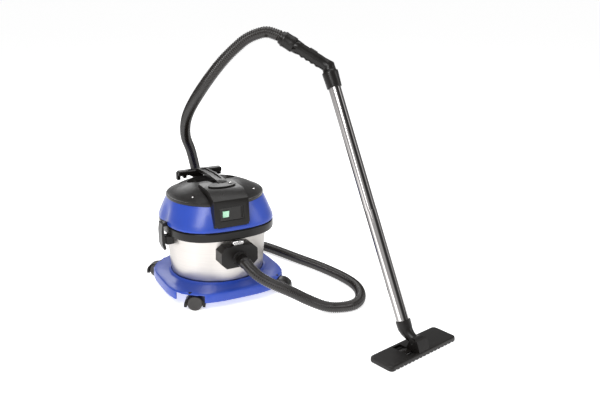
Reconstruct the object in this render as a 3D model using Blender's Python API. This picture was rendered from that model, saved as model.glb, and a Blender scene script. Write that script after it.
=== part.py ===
"""Tub vacuum cleaner: a steel tub on a blue castered trolley, a blue motor head with a black cover,
a ribbed suction hose, a bent grip, a chrome wand and a floor tool. Metres, +Z up, front towards -Y."""

import math

import bmesh
import bpy
from mathutils import Euler, Matrix, Vector

# Where the tub's axis stands in the part's frame, which is centred under everything but the hose.
VACUUM_AT = Vector((-0.12447, 0.27227, 0.0))

GAP = 0.0003  # between pieces that touch
STEPS = 48  # points round a large turned piece
SMALL_STEPS = 20  # points round a small one

# Trolley
BASE_HALF = 0.1910
BASE_FACET = 0.108  # half the length of a straight side
SKIRT_LOW, SKIRT_TOP = 0.027, 0.056
DECK_LOW = 0.050  # underside of the trolley's plate
SEAT_Z, SEAT_R = 0.0622, 0.147

# Casters
CASTER_AT = 0.146  # both across and along
CASTER_TRAIL = 0.014
WHEEL_R, WHEEL_HALF = 0.0235, 0.013
HOOD_LONG, HOOD_HIGH, HOOD_HALF = 0.0325, 0.0250, 0.0165
CASTER_REST = {"front_left": -27.5, "front_right": -40.0, "rear_left": 143.0, "rear_right": 50.0}

# Tub and rim
TUB_FOOT_R, TUB_TOP_R, TUB_WALL = 0.1485, 0.1605, 0.0015
TUB_LOW, TUB_HIGH = SEAT_Z + GAP, 0.2355
RIM_HALF, RIM_POWER = 0.172, 2.72
RIM_LOW, RIM_TOP = 0.2096, 0.2370

# Head
SHELL_LOW, SHELL_TOP, SHELL_WALL = 0.2403, 0.3135, 0.0035
SHELL_HALF, SHELL_TOP_R = 0.1722, 0.1520
COVER_R, COVER_LOW, COVER_LIP, DOME_TOP, COVER_WALL = 0.1535, 0.3138, 0.0085, 0.3600, 0.003
PANEL_AT, PANEL_HALF = -0.012, 0.0565  # its middle across, and half its width
HEAD_LIFT = 0.09
BOSS_X, HANDLE_X = -0.010, -0.002
LATCH_BACK = 0.020  # the right one stands this far back, the left one this far forward

# Inlet, hose and wand
INLET_Z, INLET_FACE = 0.157, -0.195
CUFF_END = -0.235
HOSE_D = 0.033
WAND_R, WAND_WALL, WAND_LONG = 0.0178, 0.0012, 0.675
WAND_JOINT = 0.318  # height of the joint between the two tubes, from the lower end
WAND_LEAN, TOOL_TURN = math.radians(25.2), math.radians(13.3)
WAND_FOOT = Vector((0.2968, -0.6303, 0.0718))
GRIP_ELBOW = 0.058  # from the wand's top to the elbow
GRIP_RUN, GRIP_CUFF_LONG = 0.111, 0.044
GRIP_HEADING = Vector((-0.695, 0.513, 0.507)).normalized()

# Floor tool, about its own centre on the floor
TOOL_AT = Vector((0.30635, -0.67069, 0.0))
TOOL_LONG, TOOL_DEEP, TOOL_TOP, SOLE_TOP = 0.268, 0.083, 0.0150, 0.0040
PIVOT_V, PIVOT_Z = -0.010, 0.0310
NECK_V = 0.0415  # how far behind the middle the wand's axis meets the neck
PEDAL_U, PEDAL_Z = -0.037, 0.0118

# The hose's own route, from the inlet cuff to the grip cuff, as its centreline passes.
HOSE_ROUTE = (
    (0.0010, -0.2620, 0.1525), (0.0090, -0.2930, 0.1405), (0.0320, -0.3180, 0.1235), (0.0660, -0.3330, 0.1040),
    (0.0975, -0.3390, 0.0860), (0.1220, -0.3420, 0.0700), (0.1480, -0.3460, 0.0530), (0.1760, -0.3520, 0.0370),
    (0.2030, -0.3600, 0.0240), (0.2300, -0.3690, 0.0180), (0.2640, -0.3790, 0.0171), (0.3010, -0.3770, 0.0171),
    (0.3380, -0.3460, 0.0171), (0.3660, -0.2930, 0.0171), (0.3760, -0.2350, 0.0171), (0.3710, -0.1700, 0.0171),
    (0.3580, -0.1050, 0.0171), (0.3410, -0.0420, 0.0171), (0.3200, 0.0200, 0.0171), (0.3000, 0.0850, 0.0171),
    (0.2810, 0.1450, 0.0171), (0.2580, 0.2030, 0.0171), (0.2240, 0.2540, 0.0171), (0.1800, 0.2880, 0.0190),
    (0.1330, 0.3030, 0.0350), (0.0920, 0.3040, 0.0800), (0.0680, 0.2960, 0.1450), (0.0540, 0.2860, 0.2200),
    (0.0400, 0.2740, 0.2900), (0.0240, 0.2560, 0.3480), (0.0020, 0.2220, 0.4060), (-0.0360, 0.1560, 0.4750),
    (-0.0630, 0.0500, 0.5578), (-0.0655, -0.0765, 0.6486), (-0.0265, -0.1560, 0.7406), (0.0236, -0.1904, 0.7980),
    (0.0510, -0.2072, 0.8170), (0.0765, -0.2208, 0.8262), (0.0985, -0.2338, 0.8250),
)


def material(name, colour, roughness, metallic=0.0):
    made = bpy.data.materials.new(name)
    made.use_nodes = True
    surface = made.node_tree.nodes["Principled BSDF"]
    surface.inputs["Base Color"].default_value = (*colour, 1.0)
    surface.inputs["Roughness"].default_value = roughness
    surface.inputs["Metallic"].default_value = metallic
    return made


def empty(name, at, parent=None, turn=None):
    made = bpy.data.objects.new(name, None)
    bpy.context.scene.collection.objects.link(made)
    made.location = at
    made.parent = parent
    if turn is not None:
        made.rotation_mode = "QUATERNION"
        made.rotation_quaternion = turn
    return made


def loft(sections, closed=False):
    """A closed mesh through sections of equal length; a section of one point is a pole."""
    bm = bmesh.new()
    rings = [[bm.verts.new(point) for point in section] for section in sections]
    pairs = list(zip(rings, rings[1:]))
    if closed:
        pairs.append((rings[-1], rings[0]))
    for low, high in pairs:
        count = max(len(low), len(high))
        for i in range(count):
            j = (i + 1) % count
            corners = [low[i % len(low)], low[j % len(low)], high[j % len(high)], high[i % len(high)]]
            bm.faces.new(list(dict.fromkeys(corners)))
    if not closed:
        for ring in (rings[0], rings[-1]):
            if len(ring) > 2:
                bm.faces.new(ring)
    bmesh.ops.recalc_face_normals(bm, faces=bm.faces)
    return bm


def place(name, bm, finish, at=(0, 0, 0), parent=None, turn=None, sharp=38):
    mesh = bpy.data.meshes.new(name)
    bm.to_mesh(mesh)
    bm.free()
    mesh.shade_smooth()
    mesh.set_sharp_from_angle(angle=math.radians(sharp))
    mesh.materials.append(finish)
    made = bpy.data.objects.new(name, mesh)
    bpy.context.scene.collection.objects.link(made)
    made.location = at
    made.parent = parent
    if turn is not None:
        made.rotation_mode = "QUATERNION"
        made.rotation_quaternion = turn
    return made


def circle(radius, z, steps=STEPS):
    if radius == 0:
        return [(0, 0, z)]
    angles = [2 * math.pi * i / steps for i in range(steps)]
    return [(radius * math.cos(a), radius * math.sin(a), z) for a in angles]


def turned(profile, steps=STEPS, closed=False):
    """A solid of revolution about Z from (radius, z) pairs."""
    return loft([circle(radius, z, steps) for radius, z in profile], closed)


def rounded_square(half, power, z, steps=STEPS, dent=None):
    """A superellipse, pushed in round both sides by dent(angle) where one is given."""
    points = []
    for i in range(steps):
        a = 2 * math.pi * i / steps
        reach = half * (abs(math.cos(a)) ** power + abs(math.sin(a)) ** power) ** (-1 / power)
        reach -= dent(a) if dent else 0
        points.append((reach * math.cos(a), reach * math.sin(a), z))
    return points


def side_dent(depth):
    """A flute over each side latch, about 50 mm wide."""
    def push(a):
        off = abs(math.sin(a)) / 0.17
        return depth * max(0.0, 1 - off * off) if off < 1 else 0.0
    return push


def block(size, chamfer=0.0):
    """A box about its own centre, with its edges bevelled."""
    bm = bmesh.new()
    bmesh.ops.create_cube(bm, size=1.0)
    bmesh.ops.scale(bm, vec=size, verts=bm.verts)
    if chamfer:
        bmesh.ops.bevel(bm, geom=bm.edges[:], offset=chamfer, segments=1, affect="EDGES")
    return bm


def extruded(outline, low, high, axis="x"):
    """An outline of two coordinates, swept between low and high along the third."""
    def point(a, b, depth):
        return {"x": (depth, a, b), "y": (a, depth, b), "z": (a, b, depth)}[axis]
    return loft([[point(a, b, depth) for a, b in outline] for depth in (low, high)])


def grown(outline, by):
    """The same counter-clockwise outline with every side moved outwards."""
    made = []
    for i, here in enumerate(outline):
        here = Vector(here)
        before = (here - Vector(outline[i - 1])).normalized()
        after = (Vector(outline[(i + 1) % len(outline)]) - here).normalized()
        normal = Vector((before.y + after.y, -before.x - after.x))
        normal.normalize()
        made.append(here + normal * by / max(0.3, normal.dot(Vector((before.y, -before.x)))))
    return [tuple(p) for p in made]


def chamfered(width, height, cut):
    x, y = width / 2, height / 2
    return [(x, -y + cut), (x, y - cut), (x - cut, y), (-x + cut, y),
            (-x, y - cut), (-x, -y + cut), (-x + cut, -y), (x - cut, -y)]


def ellipse(a, b, steps, centre=(0, 0), start=0.0, sweep=2 * math.pi):
    return [(centre[0] + a * math.cos(start + sweep * i / steps), centre[1] + b * math.sin(start + sweep * i / steps))
            for i in range(steps)]


def rod(radius, start, end, steps=SMALL_STEPS):
    """A plain round bar between two points."""
    start, end = Vector(start), Vector(end)
    turn = (end - start).to_track_quat("Z", "Y")
    ring = [turn @ Vector(p) for p in circle(radius, 0, steps)]
    return loft([[start + p for p in ring], [end + p for p in ring]])


def boolean(obj, cutter, operation="DIFFERENCE"):
    cutter.hide_render = True
    cutter.display_type = "WIRE"
    modifier = obj.modifiers.new(operation.lower(), "BOOLEAN")
    modifier.operation = operation
    modifier.solver = "EXACT"
    modifier.object = cutter


def swept(points, sizes, steps=SMALL_STEPS, up=Vector((0, 0, 1)), shape=None):
    """Round sections of the given radii along points, each square to the path."""
    points = [Vector(p) for p in points]
    sections = []
    for i, here in enumerate(points):
        along = (points[min(i + 1, len(points) - 1)] - points[max(i - 1, 0)]).normalized()
        side = along.cross(up).normalized()
        top = side.cross(along)
        section = []
        for k in range(steps):
            a = 2 * math.pi * k / steps
            reach = sizes[i] * (shape(i, a) if shape else 1.0)
            section.append(here + side * (reach * math.cos(a)) + top * (reach * math.sin(a)))
        sections.append(section)
    return loft(sections)


def smooth_curve(route, count):
    """Evenly spaced points on a Catmull-Rom curve through the route."""
    route = [Vector(p) for p in route]
    dense = []
    for i in range(len(route) - 1):
        a, b = route[max(i - 1, 0)], route[i]
        c, d = route[i + 1], route[min(i + 2, len(route) - 1)]
        for k in range(12):
            t = k / 12
            dense.append(0.5 * ((2 * b) + (c - a) * t + (2 * a - 5 * b + 4 * c - d) * t * t
                                + (3 * b - a - 3 * c + d) * t ** 3))
    dense.append(route[-1])
    travelled = [0.0]
    for a, b in zip(dense, dense[1:]):
        travelled.append(travelled[-1] + (b - a).length)
    points = []
    k = 0
    for i in range(count):
        target = travelled[-1] * i / (count - 1)
        while k < len(dense) - 2 and travelled[k + 1] < target:
            k += 1
        share = (target - travelled[k]) / (travelled[k + 1] - travelled[k])
        points.append(dense[k].lerp(dense[k + 1], min(1.0, share)))
    return points


# --- trolley and casters ---------------------------------------------------------------------


def octagon(inset, z, to_circle=0.0, radius=0.0):
    """The trolley's plan, inset, with rounded corners and bowed sides, and blended towards a circle."""
    half = BASE_HALF - inset
    facet = BASE_FACET - inset * (math.sqrt(2) - 1)
    corners = [Vector(p) for p in ((half, -facet), (half, facet), (facet, half), (-facet, half),
                                   (-half, facet), (-half, -facet), (-facet, -half), (facet, -half))]
    corner_cut, bow = 0.030, 0.0036
    points = []
    for i, corner in enumerate(corners):
        before = (corners[i - 1] - corner).normalized()
        after = (corners[(i + 1) % 8] - corner).normalized()
        points.append(corner + before * corner_cut)
        points.append(corner + (before + after) * corner_cut * 0.27)
        points.append(corner + after * corner_cut)
        middle = (corner + corners[(i + 1) % 8]) / 2
        for share in (0.5, 1.0, 1.5):
            spot = corner.lerp(corners[(i + 1) % 8], share / 2)
            points.append(spot + middle.normalized() * bow * (1 - (share - 1) ** 2))
    made = []
    for p in points:
        a = math.atan2(p.y, p.x)
        ring = Vector((radius * math.cos(a), radius * math.sin(a)))
        p = p.lerp(ring, to_circle)
        made.append((p.x, p.y, z))
    return made


def make_trolley(root, blue):
    sections = [
        octagon(0.0050, DECK_LOW), octagon(0.0045, SKIRT_LOW), octagon(0.0006, SKIRT_LOW),
        octagon(0.0, SKIRT_LOW + 0.004), octagon(0.0012, SKIRT_TOP - 0.004), octagon(0.0050, SKIRT_TOP),
        octagon(0.0050, 0.0582, 0.45, 0.160), octagon(0, 0.0606, 1.0, 0.1590), octagon(0, 0.0650, 1.0, 0.1535),
        octagon(0, 0.0683, 1.0, 0.1512), octagon(0, 0.0683, 1.0, 0.1500), octagon(0, 0.0640, 1.0, 0.1490),
        octagon(0, SEAT_Z, 1.0, SEAT_R),
    ]
    trolley = place("trolley_base", loft(sections), blue, parent=root)
    sweep_r, stem_hole = CASTER_TRAIL + HOOD_LONG + 0.002, 0.0062
    for x in (-1, 1):
        for y in (-1, 1):
            at = (x * CASTER_AT, y * CASTER_AT, 0)
            arch = turned([(0, 0.010), (sweep_r, 0.010), (sweep_r, 0.0465), (sweep_r - 0.003, DECK_LOW + 0.0004),
                           (0, DECK_LOW + 0.0004)], 32)
            boolean(trolley, place("arch_cutter", arch, blue, at, root))
            hole = turned([(0, 0.045), (stem_hole, 0.045), (stem_hole, 0.0565), (0, 0.0565)], 16)
            boolean(trolley, place("stem_cutter", hole, blue, at, root))
    return trolley


def make_caster(corner, x, y, root, black, grey):
    """A hooded twin-wheel caster. Its empty turns on the stem and its wheels turn on the axle."""
    yaw = math.radians(CASTER_REST[corner])
    swivel = empty("swivel_" + corner, (x * CASTER_AT, y * CASTER_AT, 0), root, Euler((0, 0, yaw)).to_quaternion())
    centre = (CASTER_TRAIL, WHEEL_R)
    arc = [math.radians(d) for d in (0, 25, 50, 70, 90, 110, 130, 155, 180)]
    outer = [(centre[0] + HOOD_LONG * math.cos(a), centre[1] + HOOD_HIGH * math.sin(a)) for a in arc]
    outline = outer + [(centre[0] - HOOD_LONG, 0.014), (centre[0] + HOOD_LONG, 0.014)]
    hood = place("caster_hood_" + corner, extruded(outline, -HOOD_HALF, HOOD_HALF, "y"), black, parent=swivel)
    clear = WHEEL_R + 0.0006
    disc_in = 0.0045
    for low, high in ((-HOOD_HALF - 0.002, -disc_in), (disc_in, HOOD_HALF + 0.002)):
        pocket = place("wheel_pocket", rod(clear, (centre[0], low, centre[1]), (centre[0], high, centre[1]), 28),
                       black, parent=swivel)
        boolean(hood, pocket)
        notch = block((2 * clear, high - low, 0.030))
        boolean(hood, place("wheel_notch", notch, black, (centre[0], (low + high) / 2, 0.0085), swivel))
    bore = rod(0.0033, (centre[0], -0.01, centre[1]), (centre[0], 0.01, centre[1]), 16)
    boolean(hood, place("axle_bore", bore, black, parent=swivel))
    stem = rod(0.0055, (0, 0, 0.0448), (0, 0, 0.0560), 16)
    boolean(hood, place("stem_shape", stem, black, parent=swivel), "UNION")
    tread = 0.0018
    inside = disc_in + GAP
    half = [(0, WHEEL_HALF - 0.001), (0.014, WHEEL_HALF - 0.001), (0.016, WHEEL_HALF), (WHEEL_R - tread, WHEEL_HALF),
            (WHEEL_R, WHEEL_HALF - tread), (WHEEL_R, inside + tread), (WHEEL_R - tread, inside), (0.0030, inside)]
    profile = [(r, -z) for r, z in half] + list(reversed(half))
    spin = empty("wheel_axis_" + corner, (centre[0], 0, centre[1]), swivel)
    across = Euler((-math.pi / 2, 0, 0)).to_quaternion()
    place("wheels_" + corner, turned(profile, 24), grey, parent=spin, turn=across)


# --- tub, rim and inlet ----------------------------------------------------------------------


def make_tub(root, steel):
    foot_in = TUB_FOOT_R - TUB_WALL
    outer = [(0, TUB_LOW), (0.1390, TUB_LOW), (0.1448, TUB_LOW + 0.0022), (0.1477, TUB_LOW + 0.0066),
             (TUB_FOOT_R, 0.0735), (TUB_TOP_R - 0.0004, 0.2050), (TUB_TOP_R, TUB_HIGH)]
    inner = [(TUB_TOP_R - TUB_WALL, TUB_HIGH), (TUB_TOP_R - 0.0004 - TUB_WALL, 0.2050), (foot_in, 0.0735),
             (foot_in - 0.0008, TUB_LOW + 0.0074), (0.1438, TUB_LOW + 0.0036), (0.1390, TUB_LOW + 0.0016),
             (0, TUB_LOW + 0.0016)]
    tub = place("steel_tub", turned(outer + inner, 64), steel, parent=root)
    hole = rod(0.0212, (0, -0.170, INLET_Z), (0, -0.130, INLET_Z), 24)
    boolean(tub, place("inlet_hole_cutter", hole, steel, parent=root))


def make_rim(root, black, rubber):
    tub_clear = TUB_TOP_R + 0.0006
    rim = [rounded_square(RIM_HALF - inset, RIM_POWER, z, 64)
           for inset, z in ((0.0040, RIM_LOW), (0.0008, RIM_LOW + 0.0014), (0, RIM_LOW + 0.0045),
                            (0, RIM_TOP - 0.003), (0.0018, RIM_TOP))]
    rim += [circle(tub_clear, RIM_TOP, 64), circle(tub_clear, RIM_LOW, 64)]
    place("rim_band", loft(rim, closed=True), black, parent=root)
    low, high = RIM_TOP + GAP, SHELL_LOW - GAP
    seal = [rounded_square(0.1690, RIM_POWER, low, 64), rounded_square(0.1690, RIM_POWER, high, 64),
            circle(0.1630, high, 64), circle(0.1630, low, 64)]
    place("rim_seal", loft(seal, closed=True), rubber, parent=root)


def make_inlet(root, black, steel, rubber):
    """Chamfered housing on the front of the tub, its socket ring and the catch that holds the cuff."""
    outline = [(x, z + 0.1635) for x, z in chamfered(0.118, 0.068, 0.016)]
    housing = place("inlet_housing", extruded(outline, INLET_FACE, -0.140, "y"), black, parent=root)
    tub_shape = turned([(0, 0.05), (TUB_FOOT_R + GAP, 0.0735), (TUB_TOP_R + GAP, 0.2055), (0, 0.23)], 64)
    boolean(housing, place("tub_shape_cutter", tub_shape, black, parent=root))
    socket = rod(0.0232, (0, INLET_FACE - 0.01, INLET_Z), (0, INLET_FACE + 0.014, INLET_Z), 24)
    boolean(housing, place("socket_cutter", socket, black, parent=root))
    bore = rod(0.0212, (0, INLET_FACE - 0.01, INLET_Z), (0, -0.12, INLET_Z), 24)
    boolean(housing, place("bore_cutter", bore, black, parent=root))
    ring = turned([(0.0201, 0), (0.0229, 0), (0.0229, 0.0165), (0.0215, 0.0180), (0.0201, 0.0180)], 24, closed=True)
    face_out = Euler((math.pi / 2, 0, 0)).to_quaternion()
    place("socket_ring", ring, rubber, (0, INLET_FACE + 0.0137, INLET_Z), root, face_out)
    slot = block((0.0376, 0.0176, 0.012))
    boolean(housing, place("catch_slot", slot, black, (0, -0.180, 0.1960), root))
    place("hose_catch", block((0.036, 0.016, 0.0160), 0.0030), steel, (0, -0.180, 0.2018), root)
    cuff = turned([(0.0150, 0), (0.0198, 0), (0.0198, 0.0440), (0.0208, 0.0450), (0.0208, 0.0520), (0.0198, 0.0530),
                   (0.0190, 0.0800), (0.0150, 0.0800)], 24, closed=True)
    place("inlet_cuff", cuff, black, (0, CUFF_END + 0.080, INLET_Z), root, face_out)


# --- head ------------------------------------------------------------------------------------

PANEL_OUTLINE = ((-0.1745, 0.2545), (-0.1755, 0.2570), (-0.1690, 0.3345), (-0.1655, 0.3385), (-0.1250, 0.3600),
                 (-0.0400, 0.3622), (-0.0400, 0.3480), (-0.1180, 0.3430), (-0.1400, 0.3160), (-0.1560, 0.2545))


def cover_profile():
    """Outer (radius, z) pairs of the cover, from its lip to its crown."""
    lip_top = COVER_LOW + COVER_LIP
    profile = [(COVER_R - 0.0006, COVER_LOW), (COVER_R, COVER_LOW + 0.0015), (COVER_R, lip_top - 0.0012),
               (COVER_R - 0.0014, lip_top)]
    crown_r = COVER_R - 0.0050
    rise = DOME_TOP - lip_top
    for share in (1.0, 0.93, 0.82, 0.66, 0.48, 0.28, 0.12):
        profile.append((crown_r * share, lip_top + rise * (1 - share ** 2.6)))
    return profile + [(0, DOME_TOP)]


def make_head(head, blue, black, dark, steel, rubber, lamp, foam):
    shape = ((0.0016, 0.0, 2.72, 0.0075), (0.0, 0.0014, 2.72, 0.0075), (0.0006, 0.0085, 2.72, 0.0075),
             (0.0045, 0.0210, 2.64, 0.0068), (0.0118, 0.0450, 2.42, 0.0040), (0.0162, 0.0600, 2.22, 0.0014),
             (SHELL_HALF - SHELL_TOP_R, SHELL_TOP - SHELL_LOW, 2.07, 0.0))
    outer = [rounded_square(SHELL_HALF - inset, power, SHELL_LOW + rise, 64, side_dent(dent))
             for inset, rise, power, dent in shape]
    inner = [rounded_square(SHELL_HALF - inset - SHELL_WALL, power, SHELL_LOW + rise, 64, side_dent(dent))
             for inset, rise, power, dent in reversed(shape[1:])]
    inner.append(rounded_square(SHELL_HALF - SHELL_WALL, 2.72, SHELL_LOW, 64, side_dent(0.0075)))
    shell = place("head_shell", loft(outer + inner, closed=True), blue, parent=head)

    outside = cover_profile()
    inside = [(max(r - COVER_WALL, 0), z - COVER_WALL) for r, z in outside[3:]]
    inside.insert(0, (COVER_R - COVER_WALL, COVER_LOW - 0.01))
    cover = place("top_cover", turned([(0, COVER_LOW)] + outside), black, parent=head)
    hollow_at = (0, 0.030, 0.3500)
    stretch = (0.080, 0.048, 1.0)
    pan = turned([(0, -0.033), (0.5, -0.031), (0.92, -0.020), (1.06, 0.001), (1.06, 0.05), (0, 0.05)], 32)
    bmesh.ops.scale(pan, vec=stretch, verts=pan.verts)
    room = place("cover_room", turned([(0, COVER_LOW - 0.01)] + inside), black, parent=head)
    boolean(room, place("hollow_pan", pan, black, hollow_at, head))
    boolean(cover, room)
    hollow = turned([(0, -0.030), (0.5, -0.028), (0.86, -0.018), (1.0, 0.0), (1.0, 0.05), (0, 0.05)], 32)
    bmesh.ops.scale(hollow, vec=stretch, verts=hollow.verts)
    boolean(cover, place("hollow_cutter", hollow, black, hollow_at, head))

    outline = list(reversed(PANEL_OUTLINE))
    around = grown(outline, GAP)
    for body in (shell, cover):
        cutter = extruded(around, PANEL_AT - PANEL_HALF - GAP, PANEL_AT + PANEL_HALF + GAP)
        boolean(body, place("panel_cutter", cutter, black, parent=head))
    panel = place("switch_panel", extruded(outline, PANEL_AT - PANEL_HALF, PANEL_AT + PANEL_HALF), black, parent=head)
    for side in (-1, 1):
        corner_at = (PANEL_AT + side * PANEL_HALF, -0.1790, 0.2545)
        corner = place("panel_corner", block((0.0150, 0.0215, 0.0150)), black, corner_at, head,
                       Euler((0, math.radians(45), 0)).to_quaternion())
        boolean(panel, corner)
    face_tilt = math.atan2(0.1755 - 0.1690, 0.3345 - 0.2570)
    on_face = empty("panel_face", (PANEL_AT, -0.17225, 0.2958), head, Euler((-face_tilt, 0, 0)).to_quaternion())
    boolean(panel, place("recess_cutter", block((0.076, 0.008, 0.040)), black, (0, 0, 0), on_face))
    boolean(panel, place("switch_hole", block((0.0228, 0.060, 0.0246)), black, (-0.0195, 0.0, 0), on_face))
    bezel = place("switch_bezel", block((0.0752, 0.0020, 0.0392)), dark, (0, 0.0027, 0), on_face)
    boolean(bezel, place("rocker_hole", block((0.0204, 0.010, 0.0216)), dark, (-0.0195, 0, 0), on_face))
    boolean(bezel, place("slot_hole", block((0.0066, 0.010, 0.0330)), dark, (0.0317, 0, 0), on_face))
    rocker = [(-0.0100, 0.0034), (-0.0030, 0.0010), (0.0, 0.0004), (0.0030, -0.0006), (0.0100, -0.0022),
              (0.0100, 0.0012), (0.0090, 0.0050), (-0.0090, 0.0050)]
    rocker_bm = extruded([(y, z) for z, y in rocker], -0.0096, 0.0096)
    place("rocker_switch", rocker_bm, lamp, (-0.0195, 0.0, 0), on_face)
    place("switch_body", block((0.0200, 0.0150, 0.0210), 0.001), dark, (-0.0195, 0.0195, 0), on_face)

    boss = [(x, y) for x, y in ellipse(0.044, 0.0235, 28)]
    boss_bm = extruded(boss, 0, 0.0045, "z")
    boss_seat = Euler((math.atan2(0.0022, 0.085), 0, 0)).to_quaternion()
    place("handle_boss", boss_bm, black, (BOSS_X, -0.0900, 0.3612), head, boss_seat)
    make_handle(head, black, steel)
    for name, x, y in (("cover_screw_left", -0.1010, -0.0780), ("cover_screw_right", 0.1010, -0.0780),
                       ("cover_screw_rear", 0.0, 0.1276)):
        z = 0.3312
        well = turned([(0, -0.020), (0.0046, -0.020), (0.0046, 0.012), (0, 0.012)], 16)
        boolean(cover, place("screw_well", well, black, (x, y, z + 0.0126), head))
        place(name, turned([(0, -0.012), (0.0018, -0.012), (0.0018, -0.003), (0.0042, -0.003), (0.0040, -0.0006),
                            (0.0022, 0.0), (0, 0.0)], 14), steel, (x, y, z + 0.004), head)

    gland_at, gland_turn = Vector((0.075, 0.150, 0.277)), Euler((-math.pi / 2, 0, math.radians(-26))).to_quaternion()
    hole = place("gland_hole", turned([(0, -0.03), (0.0078, -0.03), (0.0078, 0.03), (0, 0.03)], 18), blue,
                 gland_at, head, gland_turn)
    boolean(shell, hole)
    place("cord_gland", turned([(0.0042, -0.010), (0.0074, -0.010), (0.0074, 0.0110), (0.0100, 0.0120),
                                (0.0100, 0.0150), (0.0068, 0.0270), (0.0042, 0.0270)], 18, closed=True),
          rubber, gland_at, head, gland_turn)
    make_works(head, dark, steel, foam, rubber)


def make_handle(head, black, steel):
    """Carry handle: a bar over the hand hollow, from the boss to a rear cross-piece with two cord hooks."""
    bar = [(-0.0790, 0.3664), (-0.0610, 0.3722), (0.0200, 0.3752), (0.1000, 0.3704), (0.1440, 0.3625),
           (0.1440, 0.3500), (0.1000, 0.3590), (0.0200, 0.3640), (-0.0400, 0.3668), (-0.0520, 0.3664)]
    handle = place("carry_handle", extruded(list(reversed(bar)), -0.0150, 0.0150), black, (HANDLE_X, 0, 0), head)
    groove = [(-0.0500, 0.3860), (-0.0500, 0.3696), (0.0200, 0.3714), (0.1000, 0.3670), (0.1000, 0.3860)]
    cuts = place("bar_groove", extruded(list(reversed(groove)), -0.0088, 0.0088), black, (HANDLE_X, 0, 0), head)
    boolean(handle, cuts)
    cross = place("cross_shape", block((0.150, 0.0260, 0.0165), 0.003), black, (HANDLE_X, 0.1320, 0.3540), head)
    boolean(handle, cross, "UNION")
    for reach, drop in ((-0.0715, 0.026), (-0.0500, 0.022), (0.0260, 0.022), (0.0710, 0.022)):
        hook = place("hook_shape", block((0.0120, 0.0150, drop), 0.0015), black,
                     (HANDLE_X + reach, 0.1390, 0.3570 - drop / 2), head)
        boolean(handle, hook, "UNION")
    loop = place("loop_shape", block((0.0560, 0.0148, 0.0060), 0.0012), black, (HANDLE_X + 0.0485, 0.1390, 0.3375), head)
    boolean(handle, loop, "UNION")
    leg = [(-0.0480, 0.3500), (0.0280, 0.3500), (0.0060, 0.3392), (-0.0260, 0.3392)]
    boolean(handle, place("leg_shape", extruded(leg, 0.1215, 0.1425, "y"), black, (HANDLE_X, 0, 0), head), "UNION")
    place("handle_screw", turned([(0, 0), (0.0060, 0), (0.0058, 0.0016), (0.0040, 0.0026), (0, 0.0026)], 18), steel,
          (BOSS_X + 0.0290, -0.0860, 0.3662), head)


def make_works(head, dark, steel, foam, rubber):
    """What the head holds: the deck, the motor with its fan, and the exhaust filter."""
    place("motor_deck", turned([(0.0300, 0.2391), (0.1580, 0.2391), (0.1580, 0.2425), (0.0300, 0.2425)], closed=True),
          dark, parent=head)
    can = [(0.0060, 0.2428), (0.0660, 0.2428), (0.0660, 0.2560), (0.0480, 0.2600), (0.0480, 0.3020), (0.0440, 0.3060),
           (0.0060, 0.3060), (0.0060, 0.3030), (0.0420, 0.3030), (0.0450, 0.3000), (0.0450, 0.2620), (0.0630, 0.2570),
           (0.0630, 0.2458), (0.0060, 0.2458)]
    place("motor_casing", turned(can, 32, closed=True), steel, parent=head)
    place("motor_shaft", turned([(0, 0.2130), (0.0040, 0.2130), (0.0040, 0.3100), (0, 0.3100)], 16), steel,
          parent=head)
    place("armature", turned([(0.0043, 0.2640), (0.0260, 0.2640), (0.0280, 0.2680), (0.0280, 0.2900),
                              (0.0260, 0.2940), (0.0043, 0.2940)], 20, closed=True), dark, parent=head)
    place("fan_rotor", turned([(0.0043, 0.2150), (0.0200, 0.2150), (0.0560, 0.2180), (0.0560, 0.2260),
                               (0.0200, 0.2300), (0.0043, 0.2300)], 28, closed=True), steel, parent=head)
    cage = [(0.0300, 0.2000), (0.0640, 0.2000), (0.0700, 0.2040), (0.0700, 0.2388), (0.0660, 0.2388),
            (0.0660, 0.2060), (0.0630, 0.2030), (0.0300, 0.2030)]
    place("fan_cage", turned(cage, 28, closed=True), dark, parent=head)
    place("exhaust_foam", turned([(0.0520, 0.2700), (0.1050, 0.2700), (0.1050, 0.2980), (0.0520, 0.2980)], 32,
                                 closed=True), foam, parent=head)


def make_filters(root, cloth, paper):
    """The cloth filter hangs from the tub's mouth, and the dust bag lies on the tub's floor."""
    top = RIM_TOP + GAP
    profile = [(0, 0.1460), (0.1190, 0.1460), (0.1280, 0.1550), (0.1550, top), (0.1615, top), (0.1615, top + 0.0012),
               (0.1530, top + 0.0012), (0.1260, 0.1560), (0.1180, 0.1480), (0, 0.1480)]
    place("cloth_filter", turned(profile, 32), cloth, parent=root)
    bag = [(0, 0.0660), (0.1000, 0.0680), (0.1260, 0.0800), (0.1320, 0.0990), (0.1240, 0.1180), (0.0900, 0.1290),
           (0, 0.1320)]
    place("dust_bag", turned(bag, 32), paper, parent=root)


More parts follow.
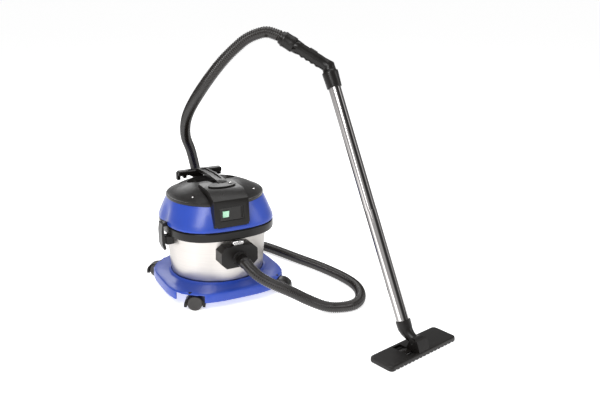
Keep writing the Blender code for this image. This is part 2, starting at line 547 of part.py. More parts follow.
def make_latch(side, head, root, black, steel):
    """Side latch: a lug and pin on the head, and a lever that covers a keeper on the tub. side is -1 or 1."""
    word = "left" if side < 0 else "right"
    latch_y = side * LATCH_BACK
    lug = [(-0.0088, -0.0055), (0.0, -0.0055), (0.0038, -0.0040), (0.0055, 0.0), (0.0038, 0.0040), (0.0, 0.0055),
           (-0.0088, 0.0055)]
    lug = [(side * x, z) for x, z in lug]
    pivot = Vector((side * 0.1790, latch_y, 0.2440))
    mount = place("latch_mount_" + word, extruded(lug, -0.0090, 0.0090, "y"), black, pivot, head)
    bore = rod(0.0019, (0, -0.03, 0), (0, 0.03, 0), 12)
    boolean(mount, place("mount_bore", bore, black, pivot, head))
    place("latch_pin_" + word, rod(0.0016, (0, -0.0155, 0), (0, 0.0155, 0), 12), steel, pivot, head)
    swing = empty("latch_axis_" + word, pivot, head)
    plate = [(0.0068, 0.0060), (0.0095, 0.0042), (0.0130, -0.0200), (0.0130, -0.0640), (0.0060, -0.0830),
             (0.0000, -0.0760), (0.0030, -0.0640), (0.0052, -0.0180), (0.0062, -0.0060)]
    plate = [(side * x, z) for x, z in plate]
    lever = place("latch_lever_" + word, extruded(plate, -0.0185, 0.0185, "y"), black, parent=swing)
    for y in (-1, 1):
        ear = place("ear_shape", block((0.0120, 0.0050, 0.0110), 0.001), black, (side * 0.0020, y * 0.0122, 0), swing)
        boolean(lever, ear, "UNION")
    ear_bore = rod(0.0019, (0, -0.03, 0), (0, 0.03, 0), 12)
    boolean(lever, place("lever_bore", ear_bore, black, parent=swing))
    keeper = place("latch_keeper_" + word, block((0.0300, 0.0340, 0.0270), 0.002), black,
                   (side * 0.1640, latch_y, 0.1915), root)
    tub_shape = turned([(0, 0.05), (TUB_FOOT_R + GAP, 0.0735), (TUB_TOP_R + GAP, 0.2085), (0, 0.23)], 64)
    boolean(keeper, place("keeper_cutter", tub_shape, black, parent=root))


# --- hose, grip, wand and floor tool ---------------------------------------------------------


def make_hose(root, start, end, end_out, black):
    lead_in, lead_out = start + Vector((0, -0.010, 0)), end + end_out * 0.010
    points = [start] + smooth_curve([lead_in] + list(HOSE_ROUTE) + [lead_out], 74) + [end]
    data = bpy.data.curves.new("suction_hose", "CURVE")
    data.dimensions = "3D"
    spline = data.splines.new("POLY")
    spline.points.add(len(points) - 1)
    for spot, point in zip(spline.points, points):
        spot.co = (*point, 1)
    data.bevel_depth = HOSE_D / 2
    data.bevel_resolution = 2
    data.use_fill_caps = True
    data.materials.append(black)
    hose = bpy.data.objects.new("suction_hose", data)
    bpy.context.scene.collection.objects.link(hose)
    hose.parent = root


def make_wand(root, chrome, black):
    """Two chrome tubes on one leaning axis, with the joint sleeve between them."""
    lean = Euler((-WAND_LEAN, 0, TOOL_TURN), "XYZ").to_quaternion()
    axis = empty("wand_axis", WAND_FOOT, root, lean)
    inner = WAND_R - WAND_WALL
    sleeve = 0.024
    for name, low, high in (("wand_lower", -0.014, WAND_JOINT), ("wand_upper", WAND_JOINT + GAP, WAND_LONG + 0.026)):
        place(name, turned([(inner, low), (WAND_R, low), (WAND_R, high), (inner, high)], 28, closed=True), chrome,
              parent=axis)
    plug_r = inner - GAP
    place("wand_joint", turned([(plug_r - 0.0015, WAND_JOINT - sleeve), (plug_r, WAND_JOINT - sleeve),
                                (plug_r, WAND_JOINT + sleeve), (plug_r - 0.0015, WAND_JOINT + sleeve)], 24,
                               closed=True), chrome, parent=axis)
    return axis, lean


def make_grip(root, axis, lean, black, dark):
    """Bent grip: a socket over the wand, an elbow, a waved handle and a swivel cuff for the hose."""
    along = lean @ Vector((0, 0, 1))
    top = WAND_FOOT + along * WAND_LONG
    elbow = top + along * GRIP_ELBOW
    socket_low = top - along * 0.004
    out = GRIP_HEADING
    path = [socket_low, socket_low + along * 0.002, top + along * 0.036, top + along * 0.042, top + along * 0.044,
            elbow - along * 0.008, elbow, elbow + out * 0.009, elbow + out * 0.021]
    sizes = [0.0206, 0.0212, 0.0230, 0.0230, 0.0194, 0.0186, 0.0198, 0.0176, 0.0170]
    waves = 4
    for i in range(waves * 2):
        path.append(elbow + out * (0.030 + 0.0080 * i))
        sizes.append(0.0176)
    path += [elbow + out * 0.097, elbow + out * (GRIP_RUN - GAP)]
    sizes += [0.0188, 0.0198]
    first_wave, last_wave = 9, 9 + waves * 2

    def finger_waves(i, a):
        if first_wave <= i < last_wave and math.sin(a) < 0:
            return 1.0 + (0.10 if i % 2 else -0.10) * abs(math.sin(a))
        return 1.0

    side_up = Vector((0, 0, 1)) - out * out.z
    grip = place("wand_grip", swept(path, sizes, 20, side_up.normalized(), finger_waves), black, parent=root)
    socket = rod(WAND_R + GAP, top - along * 0.03, top + along * (0.026 + GAP), 28)
    boolean(grip, place("wand_socket_cutter", socket, black, parent=root))
    hose_end = elbow + out * (GRIP_RUN + GRIP_CUFF_LONG)
    cuff_turn = out.to_track_quat("Z", "Y")
    cuff = turned([(0, 0), (0.0212, 0), (0.0220, 0.0015), (0.0220, 0.0120), (0.0214, 0.0135), (0.0214, 0.0290),
                   (0.0220, 0.0300), (0.0220, 0.0345), (0.0200, 0.0370), (0.0185, GRIP_CUFF_LONG), (0, GRIP_CUFF_LONG)], 24)
    place("grip_cuff", cuff, black, elbow + out * GRIP_RUN, root, cuff_turn)
    top_side = (side_up.normalized())
    slide_turn = Matrix((out.cross(top_side), out, top_side)).transposed().to_quaternion()
    seat = elbow + out * 0.066 + top_side * 0.0176
    boolean(grip, place("slide_well", block((0.0126, 0.0440, 0.0060)), black, seat, root, slide_turn))
    slide = seat - out * 0.0085 - top_side * 0.0008
    place("suction_slide", block((0.0118, 0.0240, 0.0040), 0.001), dark, slide, root, slide_turn)
    return hose_end, out


def tool_outline(long, deep, corner):
    points = []
    for x, y, start in ((1, 1, 0), (-1, 1, 90), (-1, -1, 180), (1, -1, 270)):
        for step in range(4):
            a = math.radians(start + 30 * step)
            points.append((x * (long / 2 - corner) + corner * math.cos(a), y * (deep / 2 - corner) + corner * math.sin(a)))
    return points


def make_tool(root, axis, black, dark, steel, bristle):
    """Floor tool: cover, notched sole, brush frame, rocking pedal, and the neck that pivots over it."""
    tool = empty("tool_frame", TOOL_AT, root, Euler((0, 0, TOOL_TURN)).to_quaternion())
    low = SOLE_TOP + GAP
    layers = ((0.0, low), (0.0, TOOL_TOP - 0.005), (0.0012, TOOL_TOP - 0.0016), (0.0045, TOOL_TOP))
    sections = [[(x, y, z) for x, y in tool_outline(TOOL_LONG - 2 * inset, TOOL_DEEP - 2 * inset, 0.012 - inset * 0.5)]
                for inset, z in layers]
    cover = place("tool_cover", loft(sections), black, parent=tool)
    hollow = block((TOOL_LONG - 0.008, TOOL_DEEP - 0.008, 0.0078))
    boolean(cover, place("cover_cavity", hollow, black, (0, 0, low + 0.0078 / 2 - 0.001), tool))
    for side in (-1, 1):
        lug_outline = [(PIVOT_V - 0.022, TOOL_TOP - 0.003), (PIVOT_V + 0.020, TOOL_TOP - 0.003),
                       (PIVOT_V + 0.011, PIVOT_Z + 0.004), (PIVOT_V + 0.004, PIVOT_Z + 0.011),
                       (PIVOT_V - 0.005, PIVOT_Z + 0.0105), (PIVOT_V - 0.013, PIVOT_Z + 0.003)]
        lug = extruded(lug_outline, min(side * 0.0158, side * 0.0205), max(side * 0.0158, side * 0.0205))
        boolean(cover, place("lug_shape", lug, black, parent=tool), "UNION")
    front = [(PIVOT_V - 0.0290, TOOL_TOP - 0.003), (PIVOT_V - 0.0100, TOOL_TOP - 0.003),
             (PIVOT_V - 0.0100, PIVOT_Z + 0.0136), (PIVOT_V - 0.0165, PIVOT_Z + 0.0120)]
    boolean(cover, place("front_shape", extruded(front, -0.0205, 0.0205), black, parent=tool), "UNION")
    relief = rod(0.0166, (-0.0155, PIVOT_V, PIVOT_Z), (0.0155, PIVOT_V, PIVOT_Z), 24)
    boolean(cover, place("barrel_relief", relief, black, parent=tool))
    boolean(cover, place("pin_bore", rod(0.0028, (-0.03, PIVOT_V, PIVOT_Z), (0.03, PIVOT_V, PIVOT_Z), 14), black,
                         parent=tool))
    boolean(cover, place("pedal_well", block((0.0290, 0.0620, 0.030)), black, (PEDAL_U, 0.0, TOOL_TOP + 0.006), tool))
    sole_bm = loft([[(x, y, z) for x, y in tool_outline(TOOL_LONG - 2 * inset, TOOL_DEEP - 2 * inset, 0.012 - inset)]
                    for inset, z in ((0.0022, 0.0), (0.0006, 0.0014), (0.0006, SOLE_TOP))])
    sole = place("tool_sole", sole_bm, dark, parent=tool)
    boolean(sole, place("suction_slot", block((0.205, 0.016, 0.03)), dark, (0, 0, 0), tool))
    for side in (-1, 1):
        boolean(sole, place("brush_slot", block((0.2260, 0.0070, 0.03)), dark, (0, side * 0.0270, 0), tool))
    notches = 16
    for i in range(notches):
        u = (i - (notches - 1) / 2) * 0.0150
        for side in (-1, 1):
            notch = block((0.0088, 0.0096, 0.0068))
            boolean(sole, place("air_notch", notch, dark, (u, side * (TOOL_DEEP / 2 - 0.0010), 0.0), tool))
    frame = place("brush_frame", block((0.2240, 0.0050, 0.0068)), bristle, (0, -0.0270, 0.0040), tool)
    far_strip = place("strip_shape", block((0.2240, 0.0050, 0.0068)), bristle, (0, 0.0270, 0.0040), tool)
    boolean(frame, far_strip, "UNION")
    for side in (-1, 1):
        link = place("link_shape", block((0.0060, 0.0560, 0.0022)), bristle, (side * 0.1050, 0, 0.0060), tool)
        boolean(frame, link, "UNION")
    pedal_outline = [(-0.0130, -0.0012), (0.0, -0.0020), (0.0130, -0.0012), (0.0130, 0.0010), (0.0040, 0.0024),
                     (-0.0040, 0.0024), (-0.0130, 0.0010)]
    rest = Euler((math.radians(-5), 0, 0)).to_quaternion()
    place("tool_pedal", extruded(pedal_outline, -0.0132, 0.0132), dark, (PEDAL_U, 0, PEDAL_Z), tool, rest)
    place("tool_pin", rod(0.0025, (-0.0200, 0, 0), (0.0200, 0, 0), 14), steel, (0, PIVOT_V, PIVOT_Z), tool)

    barrel = rod(0.0150, (-0.0153, PIVOT_V, PIVOT_Z), (0.0153, PIVOT_V, PIVOT_Z), 24)
    neck = place("tool_neck", barrel, black, parent=tool)
    foot = Vector((0.0, NECK_V, WAND_FOOT.z))
    slope = Vector((0, math.sin(WAND_LEAN), math.cos(WAND_LEAN)))
    elbow_bm = swept([foot + slope * 0.0045, foot + slope * 0.0030, foot - slope * 0.0180,
                      foot - slope * 0.0280 + Vector((0, -0.0030, 0.0010)), foot + Vector((0, -0.0270, -0.0325)),
                      Vector((0, PIVOT_V + 0.003, PIVOT_Z))],
                     [0.0208, 0.0214, 0.0206, 0.0182, 0.0152, 0.0120], 22, Vector((1, 0, 0)))
    boolean(neck, place("elbow_shape", elbow_bm, black, parent=tool), "UNION")
    socket = rod(WAND_R + GAP, foot + slope * 0.030, foot - slope * (0.014 + GAP), 28)
    boolean(neck, place("neck_socket_cutter", socket, black, parent=tool))
    boolean(neck, place("neck_bore", rod(0.0028, (-0.03, PIVOT_V, PIVOT_Z), (0.03, PIVOT_V, PIVOT_Z), 14), black,
                        parent=tool))


def main():
    for obj in list(bpy.data.objects):
        bpy.data.objects.remove(obj, do_unlink=True)
    blue = material("blue_plastic", (0.060, 0.090, 0.520), 0.32)
    black = material("black_plastic", (0.020, 0.019, 0.018), 0.45)
    dark = material("dark_plastic", (0.050, 0.046, 0.044), 0.5)
    steel = material("stainless_steel", (0.74, 0.72, 0.69), 0.25, 1.0)
    chrome = material("chrome", (0.85, 0.85, 0.87), 0.06, 1.0)
    rubber = material("rubber", (0.012, 0.012, 0.012), 0.7)
    lamp = material("lit_rocker", (0.55, 0.85, 0.65), 0.35)
    foam = material("foam", (0.10, 0.10, 0.10), 0.95)
    cloth = material("filter_cloth", (0.75, 0.73, 0.68), 0.9)
    paper = material("bag_paper", (0.62, 0.50, 0.34), 0.9)
    bristle = material("bristle", (0.03, 0.03, 0.03), 0.85)

    root = empty("vacuum", VACUUM_AT)
    head = empty("head", (0, 0, 0), root)
    make_trolley(root, blue)
    for corner, x, y in (("front_left", -1, -1), ("front_right", 1, -1), ("rear_left", -1, 1), ("rear_right", 1, 1)):
        make_caster(corner, x, y, root, black, dark)
    make_tub(root, steel)
    make_rim(root, black, rubber)
    make_inlet(root, black, steel, rubber)
    make_filters(root, cloth, paper)
    make_head(head, blue, black, dark, steel, rubber, lamp, foam)
    for side in (-1, 1):
        make_latch(side, head, root, black, steel)
    axis, lean = make_wand(root, chrome, black)
    hose_end, out = make_grip(root, axis, lean, black, dark)
    make_tool(root, axis, black, dark, steel, bristle)
    make_hose(root, Vector((0, CUFF_END - GAP, INLET_Z)), hose_end + out * GAP, out, black)


main()
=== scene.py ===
"""Looks for the tub vacuum cleaner: studio, materials, and the ribbed hose that stands for a plain CAD solid."""

import math

import bmesh
import bpy
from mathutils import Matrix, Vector


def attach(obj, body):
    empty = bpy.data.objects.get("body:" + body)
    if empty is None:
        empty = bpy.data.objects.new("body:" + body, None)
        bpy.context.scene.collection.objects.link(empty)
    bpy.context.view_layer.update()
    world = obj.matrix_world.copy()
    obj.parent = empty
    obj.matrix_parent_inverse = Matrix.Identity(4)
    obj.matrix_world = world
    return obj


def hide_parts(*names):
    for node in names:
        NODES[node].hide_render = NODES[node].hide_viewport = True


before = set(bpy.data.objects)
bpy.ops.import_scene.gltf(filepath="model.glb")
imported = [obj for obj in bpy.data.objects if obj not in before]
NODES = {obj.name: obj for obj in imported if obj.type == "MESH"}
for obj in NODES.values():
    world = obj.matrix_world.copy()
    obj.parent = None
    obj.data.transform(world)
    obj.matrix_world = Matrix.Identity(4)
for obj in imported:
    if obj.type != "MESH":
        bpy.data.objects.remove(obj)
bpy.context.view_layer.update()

VACUUM_AT = Vector((-0.12447, 0.27227, 0.0))  # where the tub's axis stands
TO_THE_RIGHT = (0.887, -0.4625, 0.0)  # level, and roughly to the right as the camera sees it

# ---------------------------------------------------------------- camera, light and floor

scene = bpy.context.scene
scene.view_settings.view_transform = "Standard"
scene.view_settings.look = "None"

CAMERA_AT = VACUUM_AT + Vector((-0.7918, -2.1053, 0.9868))
LOOK_AT = VACUUM_AT + Vector((0.3159, 0.0177, 0.2381))
camera_data = bpy.data.cameras.new("camera")
camera_data.lens = 43.84
camera_data.sensor_width = 36.0
camera_data.clip_end = 200.0
camera = bpy.data.objects.new("camera", camera_data)
scene.collection.objects.link(camera)
camera.location = CAMERA_AT
camera.rotation_euler = (LOOK_AT - CAMERA_AT).to_track_quat("-Z", "Y").to_euler()
scene.camera = camera


def area_light(name, at, towards, size, power):
    data = bpy.data.lights.new(name, "AREA")
    data.shape = "RECTANGLE"
    data.size, data.size_y = size
    data.energy = power
    light = bpy.data.objects.new(name, data)
    scene.collection.objects.link(light)
    light.location = at
    light.rotation_euler = (Vector(towards) - Vector(at)).to_track_quat("-Z", "Y").to_euler()


area_light("key", (-2.2, -1.8, 2.6), (0, 0, 0.3), (1.6, 1.6), 60)
area_light("fill", (2.6, -1.6, 1.6), (0, 0, 0.3), (1.2, 2.0), 18)
area_light("streak", (-1.64, -1.45, 1.85), (0.15, -0.25, 0.4), (0.5, 2.4), 12)
area_light("top", (0.2, 0.4, 3.2), (0, 0.1, 0.2), (2.4, 2.4), 40)
area_light("rim", (0.6, 3.0, 1.8), (0, 0, 0.4), (2.0, 1.0), 24)

world = bpy.data.worlds.new("studio")
scene.world = world
world.use_nodes = True
world.node_tree.nodes["Background"].inputs["Color"].default_value = (1.0, 1.0, 1.0, 1)
world.node_tree.nodes["Background"].inputs["Strength"].default_value = 0.37

# ---------------------------------------------------------------- materials


def new_material(name):
    made = bpy.data.materials.new(name)
    made.use_nodes = True
    return made, made.node_tree, made.node_tree.nodes["Principled BSDF"]


def node(tree, kind, **inputs):
    made = tree.nodes.new(kind)
    for key, value in inputs.items():
        made.inputs[key.replace("_", " ")].default_value = value
    return made


def noise(tree, scale, detail=3.0, stretch=(1, 1, 1), rough=0.5):
    """Fractal noise over the piece's own coordinates, stretched if asked."""
    where = tree.nodes.new("ShaderNodeTexCoord")
    mapping = node(tree, "ShaderNodeMapping", Scale=stretch)
    tree.links.new(where.outputs["Object"], mapping.inputs["Vector"])
    made = node(tree, "ShaderNodeTexNoise", Scale=scale, Detail=detail, Roughness=rough)
    tree.links.new(mapping.outputs["Vector"], made.inputs["Vector"])
    return made.outputs["Fac"]


def ramp(tree, factor, stops):
    made = tree.nodes.new("ShaderNodeValToRGB")
    tree.links.new(factor, made.inputs["Fac"])
    while len(made.color_ramp.elements) < len(stops):
        made.color_ramp.elements.new(0.5)
    for element, (place, colour) in zip(made.color_ramp.elements, stops):
        element.position = place
        element.color = (*colour, 1)
    return made.outputs["Color"]


def spread(tree, factor, low, high):
    made = tree.nodes.new("ShaderNodeMapRange")
    tree.links.new(factor, made.inputs["Value"])
    made.inputs["From Min"].default_value = 0.3
    made.inputs["From Max"].default_value = 0.7
    made.inputs["To Min"].default_value = low
    made.inputs["To Max"].default_value = high
    return made.outputs["Result"]


def bump(tree, shader, height, strength, distance):
    made = tree.nodes.new("ShaderNodeBump")
    made.inputs["Strength"].default_value = strength
    made.inputs["Distance"].default_value = distance
    tree.links.new(height, made.inputs["Height"])
    tree.links.new(made.outputs["Normal"], shader.inputs["Normal"])


def scaled(colour, by):
    return tuple(min(1.0, c * by) for c in colour)


def moulded(name, colour, rough, grain=900.0, depth=0.25, distance=0.00015, vary=0.08, coat=0.0, edge=1.6,
            shine=0.30):
    """Moulded plastic or rubber: fine grain, slightly uneven colour and gloss, and paler worn edges."""
    made, tree, shader = new_material(name)
    cloudy = noise(tree, 9.0, 4.0)
    tones = ramp(tree, cloudy, ((0.30, scaled(colour, 1 - vary)), (0.70, scaled(colour, 1 + vary))))
    worn = tree.nodes.new("ShaderNodeNewGeometry")
    mask = ramp(tree, worn.outputs["Pointiness"], ((0.53, (0, 0, 0)), (0.60, (1, 1, 1))))
    mix = tree.nodes.new("ShaderNodeMix")
    mix.data_type = "RGBA"
    tree.links.new(mask, mix.inputs["Factor"])
    tree.links.new(tones, mix.inputs["A"])
    mix.inputs["B"].default_value = (*scaled(colour, edge), 1)
    tree.links.new(mix.outputs["Result"], shader.inputs["Base Color"])
    gloss = spread(tree, noise(tree, 24.0, 5.0), rough * 0.88, min(1.0, rough * 1.14))
    tree.links.new(gloss, shader.inputs["Roughness"])
    bump(tree, shader, noise(tree, grain, 2.0), depth, distance)
    shader.inputs["Specular IOR Level"].default_value = shine
    shader.inputs["Coat Weight"].default_value = coat
    shader.inputs["Coat Roughness"].default_value = 0.12
    return made


def brushed(name, colour, rough, stretch=(6, 6, 700), streak=0.12, painted_reflection=()):
    """Metal with fine brushing round the piece, uneven in gloss. Bands of painted reflection, greys by which way
    the surface faces, stand for a room's dark and pale sides.
    """
    made, tree, shader = new_material(name)
    lines = noise(tree, 1.0, 6.0, stretch, 0.7)
    smudges = noise(tree, 7.0, 3.0)
    tones = ramp(tree, lines, ((0.25, scaled(colour, 1 - streak)), (0.75, scaled(colour, 1 + streak * 0.5))))
    # The bands paint reflection and shade into the colour, by which way the surface faces.
    if painted_reflection:
        tones = shaded_by_side(tree, tones, painted_reflection)
    tree.links.new(tones, shader.inputs["Base Color"])
    tree.links.new(spread(tree, smudges, rough * 0.85, rough * 1.2), shader.inputs["Roughness"])
    bump(tree, shader, lines, 0.10, 0.0001)
    shader.inputs["Metallic"].default_value = 1.0
    return made


def shaded_by_side(tree, tones, painted_reflection):
    """Painted reflection and shade: multiplies a colour by a grey that depends on which way the surface faces,
    from left to right.
    """
    facing = tree.nodes.new("ShaderNodeNewGeometry")
    across = tree.nodes.new("ShaderNodeVectorMath")
    across.operation = "DOT_PRODUCT"
    tree.links.new(facing.outputs["Normal"], across.inputs[0])
    across.inputs[1].default_value = TO_THE_RIGHT
    share = tree.nodes.new("ShaderNodeMapRange")
    tree.links.new(across.outputs["Value"], share.inputs["Value"])
    share.inputs["From Min"].default_value = -1.0
    share.inputs["From Max"].default_value = 1.0
    shade = ramp(tree, share.outputs["Result"], [(at, (grey, grey, grey)) for at, grey in painted_reflection])
    mix = tree.nodes.new("ShaderNodeMix")
    mix.data_type = "RGBA"
    mix.blend_type = "MULTIPLY"
    mix.inputs["Factor"].default_value = 1.0
    tree.links.new(tones, mix.inputs["A"])
    tree.links.new(shade, mix.inputs["B"])
    return mix.outputs["Result"]


def woven(name, colour, scale, rough=0.95, depth=0.6):
    """Cloth, paper or foam: a coarse fibrous bump over a mottled colour."""
    made, tree, shader = new_material(name)
    fibres = noise(tree, scale, 8.0, (1, 1, 1), 0.8)
    tree.links.new(ramp(tree, fibres, ((0.3, scaled(colour, 0.75)), (0.7, scaled(colour, 1.1)))),
                   shader.inputs["Base Color"])
    shader.inputs["Roughness"].default_value = rough
    bump(tree, shader, fibres, depth, 0.0008)
    return made


BLUE = moulded("glossy_blue_plastic", (0.020, 0.062, 0.400), 0.34, 600, 0.10, 0.0001, 0.05, 0.15, 1.25, 0.45)
BLACK = moulded("grained_black_plastic", (0.0080, 0.0070, 0.0064), 0.34, 1100, 0.25, 0.0001)
SATIN = moulded("satin_black_plastic", (0.0065, 0.0056, 0.0050), 0.30, 700, 0.10, 0.0001)
DARK = moulded("dark_grey_plastic", (0.026, 0.025, 0.024), 0.45, 900, 0.30)
RUBBER = moulded("black_rubber", (0.013, 0.012, 0.012), 0.72, 500, 0.45, 0.0003, 0.12)
HOSE_BLACK = moulded("hose_plastic", (0.0085, 0.0064, 0.0054), 0.22, 260, 0.20, 0.0002, 0.12, shine=0.55)
TREAD = moulded("wheel_tread", (0.052, 0.049, 0.047), 0.50, 700, 0.35, 0.0002)
# Painted reflection and shade: greys multiplied into the metal by which way it faces, from left to right, for a
# room's dark and pale sides. The wand's wide 1.00 band leaves a painted highlight streak.
TUB_PAINTED_REFLECTION = ((0.00, 0.50), (0.14, 0.86), (0.34, 1.00), (0.50, 0.90), (0.62, 1.00), (0.82, 0.80), (1.00, 0.50))
WAND_PAINTED_REFLECTION = ((0.00, 0.05), (0.08, 0.36), (0.15, 0.30), (0.21, 1.00), (0.49, 1.00), (0.55, 0.16),
              (0.66, 0.04), (0.74, 0.28), (0.82, 0.04), (0.92, 0.50), (1.00, 0.05))
STEEL = brushed("stainless_steel", (0.70, 0.665, 0.63), 0.34, painted_reflection=TUB_PAINTED_REFLECTION)
PLATED = brushed("plated_steel", (0.72, 0.71, 0.70), 0.16, (300, 300, 300), 0.06)
CHROME = brushed("chrome_plate", (0.84, 0.81, 0.80), 0.07, (40, 40, 40), 0.03, painted_reflection=WAND_PAINTED_REFLECTION)
CLOTH = woven("filter_cloth", (0.70, 0.66, 0.57), 700)
PAPER = woven("bag_paper", (0.50, 0.38, 0.22), 420, 0.9, 0.35)
FOAM = woven("exhaust_foam", (0.030, 0.030, 0.030), 900, 1.0, 1.0)
BRISTLE = woven("bristle", (0.020, 0.019, 0.018), 1500, 0.6, 0.8)


def lit_rocker():
    """Green rocker that glows evenly from behind, a little cloudy."""
    made, tree, shader = new_material("lit_rocker")
    cloudy = noise(tree, 40.0, 1.0)
    glow = ramp(tree, cloudy, ((0.3, (0.26, 0.55, 0.36)), (0.7, (0.50, 0.74, 0.58))))
    tree.links.new(glow, shader.inputs["Base Color"])
    tree.links.new(glow, shader.inputs["Emission Color"])
    shader.inputs["Emission Strength"].default_value = 0.16
    tree.links.new(spread(tree, noise(tree, 90.0), 0.22, 0.32), shader.inputs["Roughness"])
    bump(tree, shader, noise(tree, 500.0), 0.08, 0.0001)
    return made


LAMP = lit_rocker()


def floor_material(name, glow):
    made, tree, shader = new_material(name)
    tree.links.new(ramp(tree, noise(tree, 1.3), ((0.3, (0.93, 0.93, 0.93)), (0.7, (0.95, 0.95, 0.95)))),
                   shader.inputs["Base Color"])
    shader.inputs["Roughness"].default_value = 0.9
    shader.inputs["Specular IOR Level"].default_value = 0.1
    shader.inputs["Emission Color"].default_value = (1.0, 1.0, 1.0, 1.0)
    shader.inputs["Emission Strength"].default_value = glow
    return made


# ---------------------------------------------------------------- mesh helpers


def piece(name, bm, body, material, smooth=38):
    mesh = bpy.data.meshes.new(name)
    bmesh.ops.recalc_face_normals(bm, faces=bm.faces)
    bm.to_mesh(mesh)
    bm.free()
    mesh.shade_smooth()
    mesh.set_sharp_from_angle(angle=math.radians(smooth))
    mesh.materials.append(material)
    made = bpy.data.objects.new(name, mesh)
    scene.collection.objects.link(made)
    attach(made, body)
    return made


def loft(sections):
    """A closed tube through rings of the same number of points."""
    bm = bmesh.new()
    rings = [[bm.verts.new(p) for p in section] for section in sections]
    for low, high in zip(rings, rings[1:]):
        for i in range(len(low)):
            j = (i + 1) % len(low)
            bm.faces.new([low[i], low[j], high[j], high[i]])
    bm.faces.new(rings[0])
    bm.faces.new(rings[-1])
    return bm


def smooth_curve(route, count):
    """Evenly spaced points on a Catmull-Rom curve through the route."""
    route = [Vector(p) for p in route]
    dense = []
    for i in range(len(route) - 1):
        a, b = route[max(i - 1, 0)], route[i]
        c, d = route[i + 1], route[min(i + 2, len(route) - 1)]
        for k in range(12):
            t = k / 12
            dense.append(0.5 * ((2 * b) + (c - a) * t + (2 * a - 5 * b + 4 * c - d) * t * t
                                + (3 * b - a - 3 * c + d) * t ** 3))
    dense.append(route[-1])
    travelled = [0.0]
    for a, b in zip(dense, dense[1:]):
        travelled.append(travelled[-1] + (b - a).length)
    points = []
    k = 0
    for i in range(count):
        target = travelled[-1] * i / (count - 1)
        while k < len(dense) - 2 and travelled[k + 1] < target:
            k += 1
        share = (target - travelled[k]) / (travelled[k + 1] - travelled[k])
        points.append(dense[k].lerp(dense[k + 1], min(1.0, share)))
    return points


# ---------------------------------------------------------------- the hose

HOSE_D, INLET_Z, CUFF_END = 0.033, 0.157, -0.2353
INLET_OUT = Vector((0, -1, 0))
RIB_PITCH, RING_SIDES = 0.0060, 20
RIB_DEPTHS = (-0.0004, 0.0010, 0.0018, 0.0005)  # how far each ring of a rib lies inside the hose's diameter
SQUARE_RINGS = 2  # rings at each end that stand square to the cuff they meet
LEAD = 0.010  # the hose runs straight this far past each cuff
WAND_LEAN, TOOL_TURN = math.radians(25.2), math.radians(13.3)
WAND_ALONG = Vector((-math.sin(TOOL_TURN) * math.sin(WAND_LEAN), math.cos(TOOL_TURN) * math.sin(WAND_LEAN),
                     math.cos(WAND_LEAN)))
GRIP_OUT = Vector((-0.695, 0.513, 0.507)).normalized()
WAND_FOOT = Vector((0.2968, -0.6303, 0.0718))
WAND_TOP = WAND_FOOT + WAND_ALONG * 0.675
GRIP_BEND = WAND_TOP + WAND_ALONG * 0.058
HOSE_FAR = GRIP_BEND + GRIP_OUT * (0.155 + 0.0003)

# The centreline, about the tub's axis, between the short straight leads at its two cuffs.
HOSE_ROUTE = (
    (0.0010, -0.2620, 0.1525), (0.0090, -0.2930, 0.1405), (0.0320, -0.3180, 0.1235), (0.0660, -0.3330, 0.1040),
    (0.0975, -0.3390, 0.0860), (0.1220, -0.3420, 0.0700), (0.1480, -0.3460, 0.0530), (0.1760, -0.3520, 0.0370),
    (0.2030, -0.3600, 0.0240), (0.2300, -0.3690, 0.0180), (0.2640, -0.3790, 0.0171), (0.3010, -0.3770, 0.0171),
    (0.3380, -0.3460, 0.0171), (0.3660, -0.2930, 0.0171), (0.3760, -0.2350, 0.0171), (0.3710, -0.1700, 0.0171),
    (0.3580, -0.1050, 0.0171), (0.3410, -0.0420, 0.0171), (0.3200, 0.0200, 0.0171), (0.3000, 0.0850, 0.0171),
    (0.2810, 0.1450, 0.0171), (0.2580, 0.2030, 0.0171), (0.2240, 0.2540, 0.0171), (0.1800, 0.2880, 0.0190),
    (0.1330, 0.3030, 0.0350), (0.0920, 0.3040, 0.0800), (0.0680, 0.2960, 0.1450), (0.0540, 0.2860, 0.2200),
    (0.0400, 0.2740, 0.2900), (0.0240, 0.2560, 0.3480), (0.0020, 0.2220, 0.4060), (-0.0360, 0.1560, 0.4750),
    (-0.0630, 0.0500, 0.5578), (-0.0655, -0.0765, 0.6486), (-0.0265, -0.1560, 0.7406), (0.0236, -0.1904, 0.7980),
    (0.0510, -0.2072, 0.8170), (0.0765, -0.2208, 0.8262), (0.0985, -0.2338, 0.8250),
)


def hose_points(count):
    start = Vector((0, CUFF_END, INLET_Z))
    inner = smooth_curve([start + INLET_OUT * LEAD, *HOSE_ROUTE, HOSE_FAR + GRIP_OUT * LEAD], count)
    return [VACUUM_AT + p for p in [start] + inner + [HOSE_FAR]]


def make_hose():
    """A ribbed tube: rounded ribs about 6 mm apart, each four rings long."""
    coarse = hose_points(74)
    length = sum((b - a).length for a, b in zip(coarse, coarse[1:]))
    per_rib = len(RIB_DEPTHS)
    points = smooth_curve(coarse, int(length / RIB_PITCH) * per_rib + 1)
    last = len(points) - 1
    sections = []
    side = None
    for i, here in enumerate(points):
        along = (points[min(i + 1, last)] - points[max(i - 1, 0)]).normalized()
        if i < SQUARE_RINGS:
            along = INLET_OUT
        elif i > last - SQUARE_RINGS:
            along = -GRIP_OUT
        if side is None:
            side = along.orthogonal().normalized()
        else:
            side = (side - along * side.dot(along)).normalized()
        top = along.cross(side)
        reach = HOSE_D / 2 - RIB_DEPTHS[i % per_rib]
        turns = [2 * math.pi * k / RING_SIDES for k in range(RING_SIDES)]
        sections.append([here + side * (reach * math.cos(a)) + top * (reach * math.sin(a)) for a in turns])
    hose = piece("ribbed_hose", loft(sections), "trolley", HOSE_BLACK, 80)
    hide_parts("suction_hose")


make_hose()
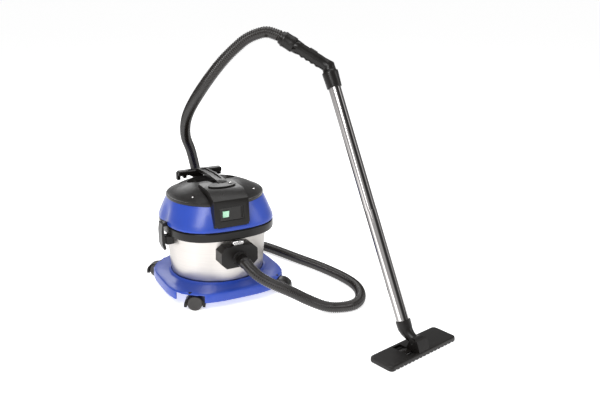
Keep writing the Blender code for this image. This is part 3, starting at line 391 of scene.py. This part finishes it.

# ---------------------------------------------------------------- CAD nodes that keep their shape

# Each node's material, and how far its hard corners are bevelled, in metres. The trolley and the castor hoods have
# no bevel. Their solids graze each other by up to 0.11 mm as the castors swivel.
FINISHES = {
    "trolley_base": (BLUE, 0.0), "head_shell": (BLUE, 0.0006),
    "steel_tub": (STEEL, 0.0), "rim_band": (SATIN, 0.0012), "rim_seal": (RUBBER, 0.0),
    "inlet_housing": (BLACK, 0.0012), "socket_ring": (RUBBER, 0.0004), "inlet_cuff": (SATIN, 0.0006),
    "hose_catch": (PLATED, 0.0005), "cloth_filter": (CLOTH, 0.0), "dust_bag": (PAPER, 0.0),
    "latch_keeper_left": (BLACK, 0.001), "latch_keeper_right": (BLACK, 0.001),
    "latch_lever_left": (SATIN, 0.0010), "latch_lever_right": (SATIN, 0.0010),
    "latch_mount_left": (BLACK, 0.0005), "latch_mount_right": (BLACK, 0.0005),
    "latch_pin_left": (DARK, 0.0), "latch_pin_right": (DARK, 0.0),
    "wand_grip": (SATIN, 0.0), "grip_cuff": (SATIN, 0.0004), "suction_slide": (DARK, 0.0003),
    "wand_upper": (CHROME, 0.0002), "wand_lower": (CHROME, 0.0002), "wand_joint": (CHROME, 0.0),
    "tool_neck": (BLACK, 0.0008), "tool_cover": (BLACK, 0.0010), "tool_sole": (DARK, 0.0004),
    "tool_pedal": (SATIN, 0.0003), "tool_pin": (PLATED, 0.0), "brush_frame": (BRISTLE, 0.0),
    "top_cover": (BLACK, 0.0006), "switch_panel": (SATIN, 0.0012), "switch_bezel": (DARK, 0.0003),
    "rocker_switch": (LAMP, 0.0006), "switch_body": (DARK, 0.0), "handle_boss": (BLACK, 0.0010),
    "carry_handle": (SATIN, 0.0009), "handle_screw": (PLATED, 0.0), "cover_screw_left": (PLATED, 0.0),
    "cover_screw_right": (PLATED, 0.0), "cover_screw_rear": (PLATED, 0.0), "motor_deck": (DARK, 0.0),
    "motor_casing": (PLATED, 0.0), "motor_shaft": (PLATED, 0.0), "armature": (DARK, 0.0),
    "fan_rotor": (PLATED, 0.0), "fan_cage": (DARK, 0.0), "exhaust_foam": (FOAM, 0.0),
    "cord_gland": (RUBBER, 0.0003),
}
for corner in ("front_left", "front_right", "rear_left", "rear_right"):
    FINISHES["caster_hood_" + corner] = (SATIN, 0.0)
    FINISHES["wheels_" + corner] = (TREAD, 0.0)


def dress(name, material, edge):
    """Gives a CAD node its material, and softens its corners where it has hard ones."""
    obj = NODES[name]
    obj.data.materials.clear()
    obj.data.materials.append(material)
    obj.data.shade_smooth()
    weld = obj.modifiers.new("weld", "WELD")
    weld.merge_threshold = 0.00002
    if edge:
        bevel = obj.modifiers.new("edges", "BEVEL")
        bevel.width = edge
        bevel.segments = 2
        bevel.limit_method = "ANGLE"
        bevel.angle_limit = math.radians(40)
        bevel.use_clamp_overlap = True
        bevel.harden_normals = True
    normals = obj.modifiers.new("normals", "WEIGHTED_NORMAL")
    normals.keep_sharp = True
    normals.weight = 80


for name, (material, edge) in FINISHES.items():
    dress(name, material, edge)

# ---------------------------------------------------------------- floor

SOLE_MIDDLE = VACUUM_AT + Vector((0.30635, -0.67069, 0.00002))  # a hair above the floor, under the floor tool


def flat_sheet(name, size, at, turn, material):
    bm = bmesh.new()
    bmesh.ops.create_grid(bm, x_segments=2, y_segments=2, size=0.5)
    mesh = bpy.data.meshes.new(name)
    bm.to_mesh(mesh)
    bm.free()
    mesh.materials.append(material)
    made = bpy.data.objects.new(name, mesh)
    scene.collection.objects.link(made)
    made.location = at
    made.rotation_euler = (0, 0, turn)
    made.scale = (size[0], size[1], 1)


flat_sheet("floor", (120.0, 120.0), (0, 0, 0), 0, floor_material("studio_floor", 0.64))
# The floor glows to look white, so an unlit sheet lies over the part of it that the slots in the sole show.
flat_sheet("floor_in_shade", (0.240, 0.064), SOLE_MIDDLE, TOOL_TURN, floor_material("shaded_floor", 0.0))
